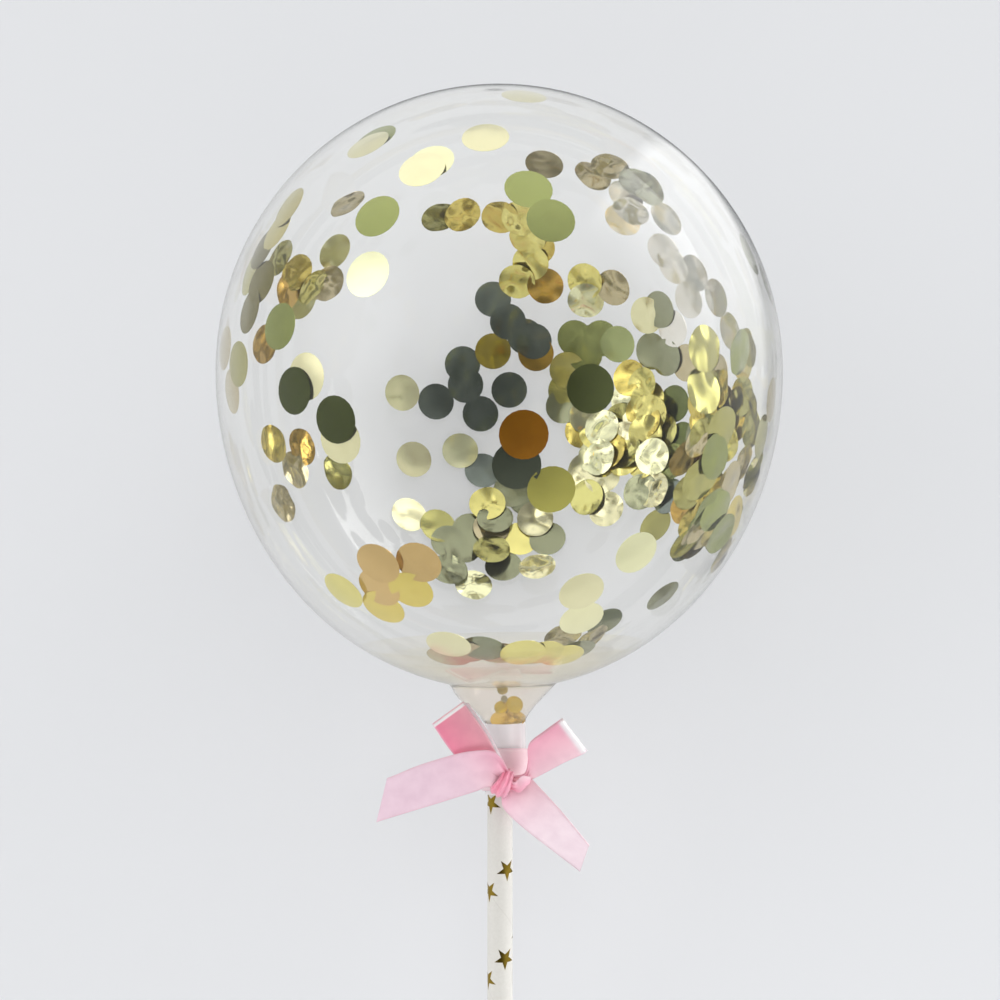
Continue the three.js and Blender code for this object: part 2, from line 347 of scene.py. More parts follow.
def outer_profile(crown_rings, belly_rings, funnel_rings):
    """The film's outer profile as radius and height, from the neck's end to the crown."""
    points = [(NECK_RADIUS, NECK_LENGTH * i / 6) for i in range(6)]
    start, end = (NECK_RADIUS, NECK_LENGTH), (FUNNEL_RADIUS, FUNNEL_TOP)
    pull = (NECK_RADIUS + 0.3, NECK_LENGTH + 0.22 * FUNNEL_LENGTH)
    lift = (lerp(NECK_RADIUS, FUNNEL_RADIUS, 0.62), NECK_LENGTH + 0.66 * FUNNEL_LENGTH)
    for i in range(funnel_rings):
        t = i / funnel_rings
        weights = ((1 - t) ** 3, 3 * t * (1 - t) ** 2, 3 * t * t * (1 - t), t**3)
        points.append(tuple(sum(w * p[k] for w, p in zip(weights, (start, pull, lift, end))) for k in (0, 1)))
    for i in range(belly_rings, 0, -1):
        turn = FUNNEL_TURN * i / belly_rings
        points.append((BELLY_RADIUS * math.cos(turn), WIDEST - BELLY_DEPTH * math.sin(turn)))
    for i in range(crown_rings):
        turn = math.pi / 2 * i / crown_rings
        points.append((BELLY_RADIUS * math.cos(turn), WIDEST + CROWN_HEIGHT * math.sin(turn)))
    return points


# The film is clear where it is stretched, and turns milky and faintly pink as it thickens towards the neck. From a
# little above the funnel down to the neck its tint turns yellow, partly the warmth of thicker latex and partly a
# painted reflection of the gold confetti. Each look is the share of light that goes through, the tint and the
# roughness. From the crown down, each but the last ends at a height above the neck's end.
FILM_LOOKS = [
    (1.0, (1.0, 1.0, 0.99, 1), 0.02),
    (0.97, (0.985, 0.97, 0.915, 1), 0.04),
    (0.94, (0.975, 0.95, 0.865, 1), 0.07),
    (0.92, (0.97, 0.935, 0.835, 1), 0.1),
    (0.93, (0.96, 0.915, 0.81, 1), 0.1),
    (0.92, (0.97, 0.935, 0.885, 1), 0.05),
    (0.6, (1.0, 0.97, 0.965, 1), 0.08),
    (0.12, (1.0, 0.985, 0.985, 1), 0.2),
]
MILKY_ENDS = [
    FUNNEL_TOP + 9,
    FUNNEL_TOP + 6,
    FUNNEL_TOP + 3.5,
    FUNNEL_TOP + 1.5,
    FUNNEL_TOP - 1,
    NECK_LENGTH - 0.5,
    NECK_LENGTH - 2.5,
]
# The look of the rim at the neck's end, under the ribbon
RIM_LOOK = 3


def balloon_film():
    """The blown-up latex film, with true thickness, open only at the neck's end under the ribbon."""
    sides = 160
    outer = outer_profile(crown_rings=46, belly_rings=56, funnel_rings=18)
    inner = [(radius - FILM, height) for radius, height in outer]
    verts = []
    ground = Vector((0, 0, 1)) @ AXES.to_3x3()
    level = -(STICK_FRAME.inverted() @ Vector((0, 0, 0))).dot(ground)

    def ring(radius, height, lowest):
        # Latex gathers into soft pleats where the ribbon ties it
        pleat = 0.28 * (1 - smooth((height - 6) / (FUNNEL_TOP + 6)))
        for k in range(sides):
            turn = 2 * math.pi * k / sides
            waves = math.cos(7 * turn + 0.5) + 0.6 * math.cos(11 * turn + 2 + 0.15 * height)
            bulge = 1.7 * math.exp(-(((height - FUNNEL_TOP + 4.2) / 3.4) ** 2)) * max(-math.sin(turn), 0) ** 2
            r = radius + pleat * waves * 0.5 - pleat * 0.6 + bulge
            point = BALLOON_FRAME @ Vector((r * math.sin(turn), height, r * math.cos(turn)))
            depth = point.dot(ground) + level - lowest
            if depth < 0:
                point -= ground * depth
            verts.append(point)

    for radius, height in outer:
        ring(radius, height, 0)
    verts.append(BALLOON_FRAME @ Vector((0, WIDEST + CROWN_HEIGHT, 0)))
    for radius, height in inner:
        ring(radius, height, FILM)
    verts.append(BALLOON_FRAME @ Vector((0, WIDEST + CROWN_HEIGHT - FILM, 0)))

    faces, kinds = [], []
    skin = len(outer) * sides + 1

    def kind(height):
        return sum(1 for end in MILKY_ENDS if height < end)

    def quad(a, b, c, d, material):
        faces.append((a, b, c, d))
        kinds.append(material)

    for i in range(len(outer)):
        material = kind(outer[i][1])
        for k in range(sides):
            near, far = i * sides + k, i * sides + (k + 1) % sides
            if i + 1 < len(outer):
                quad(near, far, far + sides, near + sides, material)
                quad(skin + near + sides, skin + far + sides, skin + far, skin + near, material)
            else:
                faces.append((near, far, skin - 1))
                faces.append((skin + far, skin + near, 2 * skin - 1))
                kinds += [material, material]
    for k in range(sides):
        quad(skin + k, skin + (k + 1) % sides, (k + 1) % sides, k, RIM_LOOK)
    film = add_mesh(
        "balloon_film",
        verts,
        faces,
        [film_material(f"latex_{i}", *look) for i, look in enumerate(FILM_LOOKS)],
        face_materials=kinds,
    )
    # The film is far too thin to throw a shadow
    film.visible_shadow = False
    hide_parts("balloon")
    return film


def paper_stick():
    """The wound paper tube with its wall, softened at the cut ends."""
    sides, rings = 96, 60
    soft = 0.08
    inner = STICK_RADIUS - STICK_WALL
    section = [(inner, STICK_LENGTH - soft), (inner + soft, STICK_LENGTH), (STICK_RADIUS - soft, STICK_LENGTH)]
    section += [(STICK_RADIUS, lerp(STICK_LENGTH - soft, soft, i / rings)) for i in range(rings + 1)]
    section += [(STICK_RADIUS - soft, 0), (inner + soft, 0), (inner, soft)]
    section += [(inner, lerp(soft, STICK_LENGTH - soft, i / 12)) for i in range(1, 12)]
    verts, uvs, faces = [], [], []
    for radius, height in section:
        for k in range(sides + 1):
            turn = 2 * math.pi * (k / sides - 0.5)
            verts.append((radius * math.sin(turn), height, radius * math.cos(turn)))
            uvs.append((STICK_RADIUS * turn, height if radius > inner else -40))
    row = sides + 1
    for i in range(len(section)):
        j = (i + 1) % len(section)
        for k in range(sides):
            faces.append((i * row + k, j * row + k, j * row + k + 1, i * row + k + 1))
    stick = add_mesh("stick_tube", verts, faces, [paper_material()], uvs=uvs)
    weld(stick)
    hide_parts("paper_stick")
    return stick


def weld(piece):
    """Joins points that lie on each other, and turns the faces outward."""
    mesh = bmesh.new()
    mesh.from_mesh(piece.data)
    bmesh.ops.remove_doubles(mesh, verts=mesh.verts, dist=0.000001)
    bmesh.ops.recalc_face_normals(mesh, faces=mesh.faces)
    mesh.to_mesh(piece.data)
    mesh.free()


# Confetti


# These tints are partly the foil's own spread of colour and partly painted reflections: the darkest ones paint a dim
# room reflected in the foil, the palest ones a bright ceiling.
FOIL_TINTS_AND_REFLECTIONS = {
    "pale": linear(255, 250, 204),
    "yellow": linear(246, 236, 148),
    "lemon": linear(222, 216, 112),
    "gold": linear(232, 212, 118),
    "amber": linear(222, 184, 98),
    "copper": linear(240, 162, 40),
    "honey": linear(222, 190, 128),
    "khaki": linear(190, 186, 118),
    "green": linear(160, 168, 100),
    "sage": linear(190, 200, 140),
    "olive": linear(165, 172, 110),
    "dark": linear(118, 128, 76),
    "deep": linear(78, 86, 44),
    "grey": linear(158, 161, 130),
    "slate": linear(150, 160, 152),
    "black": linear(108, 116, 98),
    "bronze": linear(150, 130, 78),
    "umber": linear(126, 118, 54),
    "straw": linear(212, 202, 136),
    "tan": linear(212, 200, 162),
    "mist": linear(248, 245, 236),
    "brass": linear(208, 176, 30),
    "bright": linear(252, 206, 92),
}

# Each disc is placed as it shows from the front, in millimetres right of and above the balloon's middle on the plane
# through the stick, and then carried along the line of sight to the near or the far wall.
NEAR_DISCS = [
    ("green", -29.2, 38.0),
    ("pale", -31.6, 24.2),
    ("pale", -18.5, 49.2),
    ("pale", -16.5, 51.4),
    ("pale", -3.3, 56.8),
    ("pale", -31.5, 55.2),
    ("green", -30.0, 57.0),
    ("green", -52.5, 11.6),
    ("straw", -50.4, 40.2),
    ("straw", -53.6, 34.9),
    ("umber", -57.0, 30.4),
    ("umber", -57.6, 22.4),
    ("umber", -60.4, 15.4),
    ("khaki", -60.6, 24.6),
    ("deep", -49.2, -3.8),
    ("pale", -46.6, -0.4),
    ("deep", -39.2, -10.7),
    ("pale", -38.4, -15.6),
    ("green", 12.4, 37.1),
    ("green", 7.1, 45.0),
    ("dark", 21.9, -3.3),
    ("copper", 5.9, -14.3),
    ("black", 4.2, -21.8),
    ("lemon", 12.6, -27.6),
    ("pale", 32.8, -42.5),
    ("pale", 19.7, -51.8),
    ("pale", 19.9, -58.7),
    ("yellow", -37.3, -51.6),
    ("honey", -29.0, -45.1),
    ("honey", -29.4, -51.8),
    ("gold", -28.3, -56.5),
    ("gold", -21.6, -52.3),
    ("honey", -19.7, -45.6),
    ("pale", -12.1, -64.4),
    ("pale", 5.9, 66.6),
    ("tan", -65.6, 6.4),
    ("khaki", -62.4, 2.6),
    ("tan", -64.6, -4.0),
    ("grey", 64.4, 22.0),
    ("grey", 62.9, 30.4),
    ("tan", 65.2, -6.0),
    ("khaki", 63.4, -14.8),
]
FAR_SMOOTH_DISCS = [
    ("slate", -1.5, 18.1),
    ("slate", 2.1, 12.8),
    ("slate", 6.2, 9.2),
    ("slate", 8.3, 8.1),
    ("slate", -15.2, -6.4),
    ("slate", -8.8, 2.6),
    ("slate", -8.1, -2.4),
    ("slate", -4.5, -9.3),
    ("slate", 2.4, -3.6),
    ("slate", -4.0, -22.9),
    ("grey", 2.9, -27.6),
    ("grey", 6.6, -29.5),
    ("gold", -1.5, 5.7),
    ("amber", 8.8, 5.2),
    ("pale", -20.5, -20.2),
    ("pale", -9.4, -18.2),
    ("pale", -23.3, -4.3),
    ("pale", -21.6, -33.4),
    ("tan", 10.8, 50.4),
    ("olive", 18.1, 8.8),
    ("olive", 21.4, 7.6),
    ("olive", 24.5, 8.8),
    ("sage", 28.5, 7.4),
    ("olive", 20.7, 5.0),
    ("yellow", 16.4, 1.2),
    ("khaki", 15.9, -3.8),
    ("grey", 15.4, -7.4),
    ("grey", 38.5, 15.7),
    ("pale", 35.4, 14.3),
    ("mist", 41.8, 11.2),
    ("grey", 36.6, 5.7),
    ("grey", 40.1, 4.2),
    ("tan", 44.9, 2.9),
    ("mist", 49.4, 5.0),
    ("tan", 52.0, 0.7),
    ("mist", 55.6, 10.5),
    ("mist", 58.4, 3.1),
    ("dark", 42.0, -6.9),
    ("dark", 48.8, -7.4),
    ("khaki", 53.9, -10.0),
    ("tan", 57.7, -10.0),
    ("dark", 43.5, -15.6),
    ("grey", 48.0, -14.3),
    ("slate", 40.6, -29.0),
    ("khaki", 37.5, -36.1),
    ("tan", 49.4, -34.4),
    ("grey", 39.4, -53.0),
    ("grey", 44.6, -40.6),
    ("mist", 30.4, 42.8),
    ("mist", 29.7, 37.3),
    ("mist", 40.1, 37.5),
    ("mist", 39.4, 29.7),
    ("mist", 41.8, 26.1),
    ("mist", 47.0, 24.5),
    ("mist", 45.6, 18.1),
    ("mist", 52.4, 18.6),
    ("khaki", -14.7, -36.1),
    ("grey", -12.1, -40.1),
    ("grey", -8.8, -41.3),
    ("grey", -6.9, -37.1),
    ("yellow", 5.0, -39.2),
    ("grey", 11.6, -39.2),
    ("grey", 1.0, -45.8),
    ("grey", 25.2, -58.9),
    ("pale", -39.4, 29.5),
    ("pale", -47.7, 17.8),
]
FAR_CRINKLED_DISCS = [
    ("khaki", -14.5, 38.3),
    ("gold", -9.0, 39.0),
    ("gold", 0.2, 38.0),
    ("yellow", 5.0, 38.0),
    ("gold", 9.0, 30.6),
    ("yellow", 6.9, 33.4),
    ("yellow", 4.3, 22.6),
    ("yellow", 7.6, 27.1),
    ("amber", 11.2, 21.6),
    ("yellow", 20.7, 22.6),
    ("pale", 21.1, 18.1),
    ("tan", 27.6, 21.1),
    ("tan", 22.6, 48.0),
    ("tan", 27.1, 50.8),
    ("grey", 33.7, 46.8),
    ("grey", 36.3, 45.4),
    ("mist", 32.3, 40.1),
    ("tan", -37.1, 41.8),
    ("khaki", -53.0, 28.3),
    ("gold", -49.4, 24.9),
    ("amber", -51.3, 20.7),
    ("yellow", -45.4, 21.4),
    ("tan", -41.8, 22.3),
    ("amber", -56.8, 7.4),
    ("gold", -54.6, -16.6),
    ("amber", -47.5, -17.3),
    ("tan", -49.2, -22.8),
    ("khaki", -39.2, -23.3),
    ("yellow", -37.8, -16.2),
    ("tan", -52.5, -30.9),
    ("khaki", 51.3, -3.3),
    ("gold", 54.9, -3.3),
    ("khaki", 59.4, -5.2),
    ("gold", 49.4, -10.7),
    ("khaki", 39.2, -13.5),
    ("olive", 41.6, -20.9),
    ("bronze", 45.1, -20.4),
    ("amber", 48.5, -21.6),
    ("bronze", 51.8, -21.6),
    ("yellow", 56.1, -16.4),
    ("khaki", 61.3, -12.8),
    ("gold", 51.3, -27.1),
    ("amber", 44.9, -31.6),
    ("khaki", 46.6, -28.5),
    ("grey", 34.4, -28.3),
    ("pale", 37.5, -27.8),
    ("pale", 25.9, -32.3),
    ("gold", 46.8, -35.4),
    ("tan", 55.6, -26.1),
    ("tan", 59.4, -21.1),
    ("mist", 61.3, -24.7),
    ("gold", 31.6, -0.7),
    ("pale", 30.9, -6.2),
    ("yellow", 36.3, -5.9),
    ("yellow", 35.0, -2.6),
    ("khaki", 29.5, -11.2),
    ("pale", 34.0, -10.0),
    ("pale", 30.9, -15.7),
    ("khaki", 31.1, -18.5),
    ("pale", 34.4, -18.5),
    ("yellow", 36.1, -14.3),
    ("gold", 20.0, -13.3),
    ("pale", 21.4, -10.0),
    ("yellow", 23.5, -13.5),
    ("pale", 25.9, -14.3),
    ("gold", 27.3, -17.8),
    ("pale", 20.7, -23.0),
    ("pale", 23.3, -19.5),
    ("pale", 25.2, -24.7),
    ("khaki", 21.4, -29.7),
    ("yellow", -2.9, -31.1),
    ("grey", -1.0, -34.9),
    ("tan", -1.9, -36.8),
    ("pale", 8.8, -34.9),
    ("khaki", -1.9, -42.5),
    ("grey", -12.1, -46.8),
    ("pale", -6.2, -50.4),
    ("pale", 9.3, -46.6),
    ("tan", 15.4, -62.7),
    ("tan", 22.6, -64.1),
]
BOTTOM_DISCS = [
    ("yellow", 5.7, -66.6),
    ("yellow", 10.4, -67.0),
    ("yellow", 15.2, -67.8),
    ("grey", -4.0, -66.6),
    ("tan", -8.6, -67.4),
    ("tan", -12.4, -68.6),
    ("tan", 0.4, -68.8),
    ("tan", 9.7, -69.4),
    ("grey", 18.4, -67.6),
]
# Whether each group clings to the far wall, how crinkled its discs are and how far they tilt, in degrees
DISC_GROUPS = [
    (NEAR_DISCS, False, 0.04, 3),
    (FAR_SMOOTH_DISCS, True, 0.15, 5),
    (FAR_CRINKLED_DISCS, True, 0.9, 14),
    (BOTTOM_DISCS, False, 0.1, 3),
]
# Discs strewn where they hide each other: how many, round which middle, how far each way, which share of them on the
# far wall, their tints, how crinkled they are and how far they tilt, in degrees
PILES = [
    (10, (31, -14), (7, 10), 1.0, ["yellow", "pale", "gold"], 1.0, 18),
    (26, (56, -16), (7, 24), 0.7, ["khaki", "tan", "gold", "olive"], 0.6, 14),
    (8, (50, -40), (8, 8), 0.7, ["tan", "khaki", "mist"], 0.5, 12),
]
# Discs that slid into the funnel, onto the stick's end: how far right of the stick, along it and in front of it, then
# how far each turns away from the camera and about the line of sight, in degrees, and how much of it folding leaves
FUNNEL_DISCS = [
    ("bright", 1.9, 200.5, 0.6, -64, 3, 0.84),
    ("brass", 3.4, 204.0, 2.2, -30, -20, 0.42),
    ("brass", 0.2, 203.4, 2.4, -35, 20, 0.32),
    ("pale", 1.0, 205.4, 2.6, -20, 30, 0.16),
    ("gold", 0.6, 207.6, 2.2, 10, 40, 0.26),
]


class Confetti:
    """Collects the discs of one mesh."""

    def __init__(self, seed):
        self.rng = random.Random(seed)
        self.verts, self.faces, self.tints, self.places = [], [], [], []

    def disc(self, centre, turn, tint, crinkle, share=1):
        """One round foil disc that follows the film and may be crumpled, or folded to a share of its width."""
        rng = self.rng
        shade = rng.uniform(0.9, 1.08)
        # The disc's tint, partly a painted reflection, varied a little at random
        colour = [min(c * shade, 1) for c in FOIL_TINTS_AND_REFLECTIONS[tint][:3]] + [crinkle]
        seed = Vector((rng.uniform(-90, 90), rng.uniform(-90, 90), rng.uniform(-90, 90)))
        first = len(self.verts)
        sides, rings = 22, 4
        for layer in (-0.5, 0.5):
            for i in range(rings + 1):
                radius = DISC_RADIUS * share * i / rings
                for k in range(sides if i else 1):
                    angle = 2 * math.pi * k / sides
                    x, y = radius * math.cos(angle), radius * math.sin(angle)
                    rise = CRINKLE_HEIGHT * crinkle * noise.noise(Vector((x * 0.28, y * 0.28, 0)) + seed)
                    rise += layer * DISC_THICKNESS - radius**2 / (2 * BELLY_RADIUS)
                    self.verts.append(centre + turn @ Vector((x, y, rise)))
                    self.tints.append(colour)
        per_layer = 1 + rings * sides

        def at(layer, i, k):
            return first + layer * per_layer + (0 if i == 0 else 1 + (i - 1) * sides + k % sides)

        for k in range(sides):
            self.faces.append((at(1, 0, 0), at(1, 1, k), at(1, 1, k + 1)))
            self.faces.append((at(0, 0, 0), at(0, 1, k + 1), at(0, 1, k)))
            for i in range(1, rings):
                self.faces.append((at(1, i, k), at(1, i + 1, k), at(1, i + 1, k + 1), at(1, i, k + 1)))
                self.faces.append((at(0, i, k + 1), at(0, i + 1, k + 1), at(0, i + 1, k), at(0, i, k)))
            self.faces.append((at(1, rings, k), at(0, rings, k), at(0, rings, k + 1), at(1, rings, k + 1)))

    def on_wall(self, tint, right, up, far, crinkle, tilt_degrees):
        """A disc that clings inside the film, further in for each disc placed before it that it overlaps."""
        tilt = math.radians(tilt_degrees) * self.rng.uniform(-1, 1)
        point, normal = wall_point(right, up, far)
        under = sum(1 for other in self.places if (other - point).length < 2 * DISC_RADIUS)
        self.places.append(point)
        inset = 0.2 + 0.5 * crinkle + DISC_RADIUS * abs(math.sin(tilt))
        inset += (FAR_STEP if far else NEAR_STEP) * min(under, MOST_STEPS)
        spin = Matrix.Rotation(self.rng.uniform(0, 2 * math.pi), 3, "Z")
        facing = normal.to_track_quat("Z", "Y").to_matrix()
        self.disc(point - normal * inset, facing @ spin @ Matrix.Rotation(tilt, 3, "X"), tint, crinkle)

    def in_funnel(self, tint, right, along, front, tilt, roll, share):
        turn = Matrix.Rotation(math.radians(roll), 3, "Z") @ Matrix.Rotation(math.radians(tilt), 3, "X")
        self.disc(Vector((right, along, front)), turn, tint, 0.5, share)

    def scatter(self, count, middle, spread, far_share, tints, crinkle, tilt_degrees):
        for _ in range(count):
            right = middle[0] + spread[0] * self.rng.uniform(-1, 1)
            up = middle[1] + spread[1] * self.rng.uniform(-1, 1)
            far = self.rng.random() < far_share
            self.on_wall(self.rng.choice(tints), right, up, far, crinkle, tilt_degrees)


def wall_point(right, up, far):
    """Where the line of sight through a point on the stick's plane meets the film's inside, and the normal there."""
    eye = Vector((0, CAMERA_Y, CAMERA_DISTANCE))
    to_own = Matrix.Rotation(-LEAN, 3, "Z")
    start = to_own @ (eye - MIDDLE)
    for shrink in range(40):
        target = MIDDLE + Vector((right, up, 0)) * (1 - 0.01 * shrink)
        ray = to_own @ (target - eye)
        for height in (CROWN_HEIGHT, BELLY_DEPTH):
            axes = Vector((BELLY_RADIUS - FILM, height - FILM, BELLY_RADIUS - FILM))
            a, b = (Vector((v.x / axes.x, v.y / axes.y, v.z / axes.z)) for v in (ray, start))
            square = a.dot(b) ** 2 - a.dot(a) * (b.dot(b) - 1)
            if square < 0:
                continue
            t = (-a.dot(b) + (1 if far else -1) * math.sqrt(square)) / a.dot(a)
            point = start + ray * t
            if (point.y >= 0) == (height == CROWN_HEIGHT):
                normal = Vector((point.x / axes.x**2, point.y / axes.y**2, point.z / axes.z**2)).normalized()
                back = to_own.transposed()
                return MIDDLE + back @ point, back @ normal
    raise ValueError(f"no wall at {right}, {up}")


def gold_confetti():
    confetti = Confetti(5)
    for discs, far, crinkle, tilt_degrees in DISC_GROUPS:
        for tint, right, up in discs:
            confetti.on_wall(tint, right, up, far, crinkle, tilt_degrees)
    for pile in PILES:
        confetti.scatter(*pile)
    for placed in FUNNEL_DISCS:
        confetti.in_funnel(*placed)
    piece = add_mesh("gold_confetti", confetti.verts, confetti.faces, [foil_material()], tints=confetti.tints)
    return piece


# Ribbon


# One pink satin in lighter, paler and deeper copies, which paint in the sheen and shade that each stretch and fold
# catches. SATIN_SHINE is a painted highlight, and SATIN_BAND paints light into the band's shade.
SATIN_PALE = linear(255, 234, 242)
SATIN_BAND = linear(255, 228, 232)
SATIN_LIGHT = linear(255, 216, 226)
SATIN_PINK = linear(255, 180, 202)
SATIN_ROSE = linear(250, 144, 172)
SATIN_DUSTY = linear(238, 168, 180)
SATIN_MAUVE = linear(246, 216, 230)
SATIN_SHINE = linear(255, 250, 252)


class Ribbon:
    """Collects the stretches of one ribbon as a sheet with no thickness yet."""

    across_steps = 12

    def __init__(self):
        self.verts, self.faces, self.uvs, self.tints = [], [], [], []

    def stretch(self, stations, closed=False):
        """Stations are (one edge, other edge, ripple, one tint, other tint), and ripple lifts the ribbon's face."""
        first, travelled = len(self.verts), 0
        count = len(stations)
        middles = [(a + b) / 2 for a, b, *_ in stations]
        for i, (a, b, ripple, tint_a, tint_b) in enumerate(stations):
            before = middles[i - 1] if i or closed else middles[i]
            after = middles[(i + 1) % count] if i + 1 < count or closed else middles[i]
            face = (after - before).cross(a - b).normalized()
            travelled += (middles[i] - middles[i - 1]).length if i else 0
            for k in range(self.across_steps + 1):
                t = k / self.across_steps
                self.verts.append(b.lerp(a, t) + face * ripple(2 * t - 1))
                self.uvs.append((t, travelled))
                self.tints.append([lerp(p, q, t) for p, q in zip(tint_b, tint_a)])
        row = self.across_steps + 1
        for i in range(count if closed else count - 1):
            j = (i + 1) % count
            for k in range(self.across_steps):
                self.faces.append(
                    (first + i * row + k, first + j * row + k, first + j * row + k + 1, first + i * row + k + 1)
                )


def through(keys, steps):
    """A smooth run of points through the keys, each a tuple of numbers."""
    ends = [keys[0]] + list(keys) + [keys[-1]]
    run = []
    for i in range(len(keys) - 1):
        p, q, r, s = ends[i : i + 4]
        for step in range(steps):
            t = step / steps
            run.append(
                [
                    0.5 * (2 * b + (c - a) * t + (2 * a - 5 * b + 4 * c - d) * t * t + (3 * (b - c) + d - a) * t**3)
                    for a, b, c, d in zip(p, q, r, s)
                ]
            )
    run.append(list(keys[-1]))
    return run


def ripples(t, seed, depth=0.34):
    """How the ribbon ripples across its width near the knot, fading out along it."""
    depth *= 1 - smooth(t / 0.6)
    return lambda s: depth * (math.cos(2.3 * math.pi * s + seed) + 0.4 * math.cos(4.4 * math.pi * s + 2 * seed))


def edge_points(key):
    ax, ay, bx, by, rise_a, rise_b = key
    middle = KNOT + BOW_RAISED
    return middle + Vector((ax, ay, rise_a)), middle + Vector((bx, by, rise_b))


def tail_stations(keys, seed, tints):
    run = through(keys, 10)
    stations = []
    for i, key in enumerate(run):
        t = i / (len(run) - 1)
        a, b = edge_points(key)
        tint_a, tint_b = ([lerp(p, q, smooth(1.3 * t)) for p, q in zip(near, far)] for near, far in tints)
        stations.append((a, b, ripples(t, seed), tint_a, tint_b))
    return stations


def loop_stations(keys, seed, back_shift, shine_from, tints, back_tints):
    """Out along the front keys, round the fold at the last of them, and back behind them. Round the fold the tints
    turn to SATIN_SHINE, a painted highlight (all of the fold when shine_from is below 1, else all but its outermost
    part), and along the front from shine_from on.
    """
    fold = keys[-1][4] - keys[-1][5]
    keys = [key[:5] for key in keys]
    rise = keys[-1][4] - FOLD_RADIUS
    run = through(keys, 9)
    ax, ay, bx, by, _ = (last - first for last, first in zip(keys[-1], keys[0]))
    out = Vector((ax + bx, ay + by, 0)).normalized()
    stations = []
    near, far = tints

    def add(ax, ay, bx, by, rise_a, rise_b, t, tint_a, tint_b):
        a, b = edge_points((ax, ay, bx, by, rise_a, rise_b))
        stations.append((a, b, ripples(t, seed), tint_a, tint_b))

    for i, (ax, ay, bx, by, height) in enumerate(run):
        t = i / (len(run) - 1)
        shine = smooth((t - shine_from) / (1 - shine_from)) if shine_from < 1 else 0
        tint_a, tint_b = ([lerp(p, q, shine) for p, q in zip(tint, SATIN_SHINE)] for tint in (near, far))
        add(ax, ay, bx, by, height, height + fold * t, t, tint_a, tint_b)
    ax, ay, bx, by, _ = run[-1]
    for i in range(1, 12):
        turn = math.pi * i / 12
        reach, height = FOLD_REACH * math.sin(turn), rise + FOLD_RADIUS * math.cos(turn)
        a, b = edge_points((ax, ay, bx, by, height, height + fold))
        shine = 1 if shine_from < 1 else 1 - smooth((math.sin(turn) - 0.75) / 0.2)
        tint_a, tint_b = ([lerp(p, q, shine) for p, q in zip(tint, SATIN_SHINE)] for tint in (near, far))
        stations.append((a + out * reach, b + out * reach, ripples(1, seed), tint_a, tint_b))
    for i in range(len(run) - 1, -1, -1):
        t = i / (len(run) - 1)
        ax, ay, bx, by, height = run[i]
        back = lerp(height - LAYER_GAP, rise - FOLD_RADIUS, smooth((t - 0.2) / 0.8))
        dx, dy = (shift * math.sin(math.pi * min(t, 0.5)) for shift in back_shift)
        add(ax + dx, ay + dy, bx + dx, by + dy, back, back + fold * t, t, *back_tints)
    return stations


def band_stations():
    """Round the neck, a little higher at the front, where the bow pulls it up."""
    steps, raised, tilt = 64, 0.4, 0.9
    stations = []
    for i in range(steps):
        turn = 2 * math.pi * i / steps
        out = Vector((math.sin(turn), 0, math.cos(turn)))
        middle = Vector((NECK_OFFSET, BAND_Y + raised + tilt * out.z, 0)) + out * BAND_RADIUS
        half = Vector((0, RIBBON_WIDTH / 2, 0))
        # The band's pale tint paints light into the shade that the loops and knot throw on it
        stations.append((middle + half, middle - half, lambda s: -0.12 * s * s, SATIN_BAND, SATIN_BAND))
    return stations


def knot_stations():
    """The ribbon that wraps the crossing: a twisted gather that goes over the front and back under."""
    lean = Vector((0.5, 0.87, 0))
    side = Vector((lean.y, -lean.x, 0))
    steps, front_depth, back_depth, half_height, half_width, taper = 44, 4.4, 1.4, 3.3, 1.75, 0.35
    stations = []
    for i in range(steps):
        turn = 2 * math.pi * i / steps
        depth = front_depth if math.sin(turn) > 0 else back_depth
        middle = KNOT + BOW_RAISED + Vector((-0.6, -0.2, depth * math.sin(turn)))
        middle += lean * (half_height * math.cos(turn))
        half = side * (half_width - taper * math.cos(turn))

        def folds(s, turn=turn):
            return 0.3 * math.cos(2.6 * math.pi * s + 1.6 * math.cos(turn)) - 0.7 * s * s

        stations.append((middle + half, middle - half, folds, SATIN_PINK, SATIN_ROSE))
    return stations


# The bow's edges as they show from the front, in millimetres right of and above the knot, then how far each edge
# stands in front of it
LEFT_LOOP = [
    (0.2, 2.6, -1.4, 0.2, 0.6, 0.6),
    (-1.8, 6.3, -5.2, 1.2, 1.5, 1.5),
    (-4.7, 11.8, -11.6, 6.3, 2.3, 2.3),
    (-9.2, 18.1, -16.4, 12.9, 2.4, 2.4),
]
RIGHT_LOOP = [
    (2.0, 1.3, 2.2, -0.7, 0.6, 0.6),
    (4.5, 2.1, 4.9, 0.1, 1.2, 1.2),
    (5.2, 5.2, 6.4, 0.9, 1.6, 1.6),
    (5.4, 8.9, 8.8, 2.2, 2.0, 2.0),
    (9.1, 11.9, 13.6, 4.8, 2.2, 2.2),
    (12.5, 14.3, 18.2, 6.8, 1.9, 1.9),
]
LEFT_TAIL = [
    (0.6, 2.6, -0.8, -1.6, 1.6, 1.2),
    (-1.2, 6.2, -3.2, -0.9, 3.2, 2.4),
    (-3.6, 7.8, -4.7, -0.9, 3.6, 2.6),
    (-7.9, 7.7, -6.4, -1.6, 3.6, 2.6),
    (-12.3, 6.75, -9.4, -2.6, 3.3, 2.4),
    (-20.0, 4.3, -16.8, -5.0, 2.6, 2.0),
    (-25.2, 2.1, -24.6, -7.4, 2.2, 1.8),
    (-27.5, 1.2, -30.0, -9.1, 2.0, 1.6),
]
